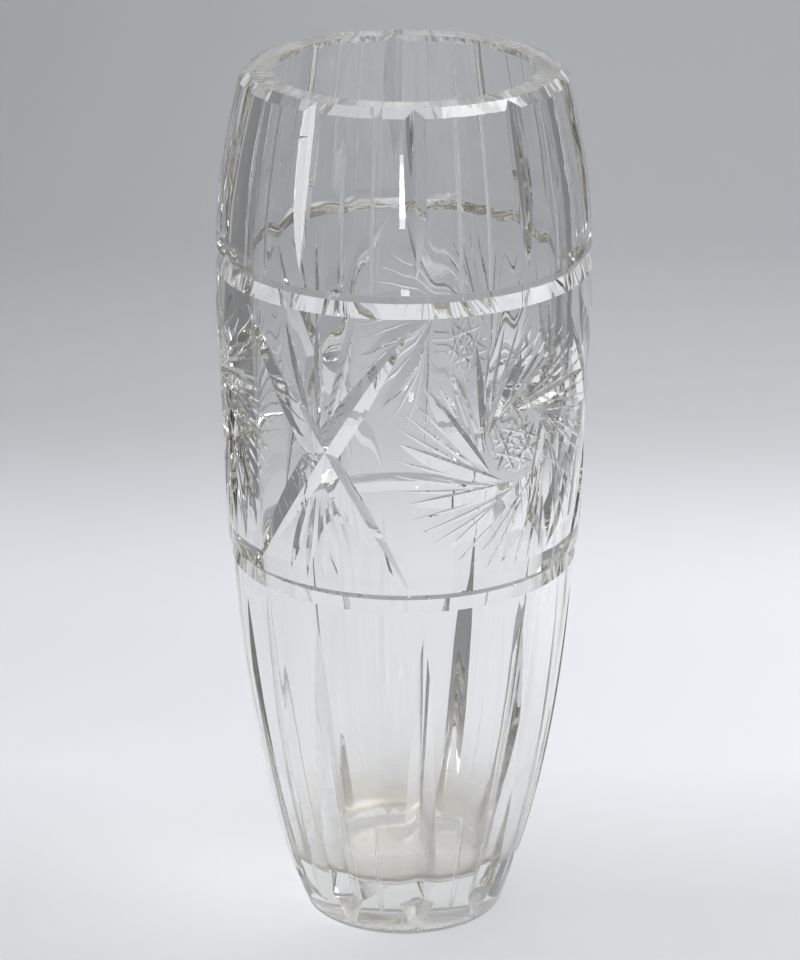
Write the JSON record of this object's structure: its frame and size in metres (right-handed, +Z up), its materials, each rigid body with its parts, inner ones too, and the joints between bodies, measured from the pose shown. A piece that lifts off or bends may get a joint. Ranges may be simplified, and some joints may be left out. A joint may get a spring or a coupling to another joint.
{
  "type": "vase",
  "caption": "Tall barrel-shaped cut crystal vase with an open mouth, a thick foot, ring grooves, upright flutes and a band of crossed stars and pinwheels.",
  "frame": {"origin": "centre of the circle that the foot stands on", "axes": "+Z up along the vase's axis, -Y towards the front of the figured band"},
  "size_m": [0.1252, 0.1252, 0.3],
  "materials": {
    "crystal": "clear colourless lead crystal, fire-polished inside, wheel-cut and polished outside"
  },
  "bodies": {
    "root": {"vase_body": "crystal"}
  },
  "joints": []
}
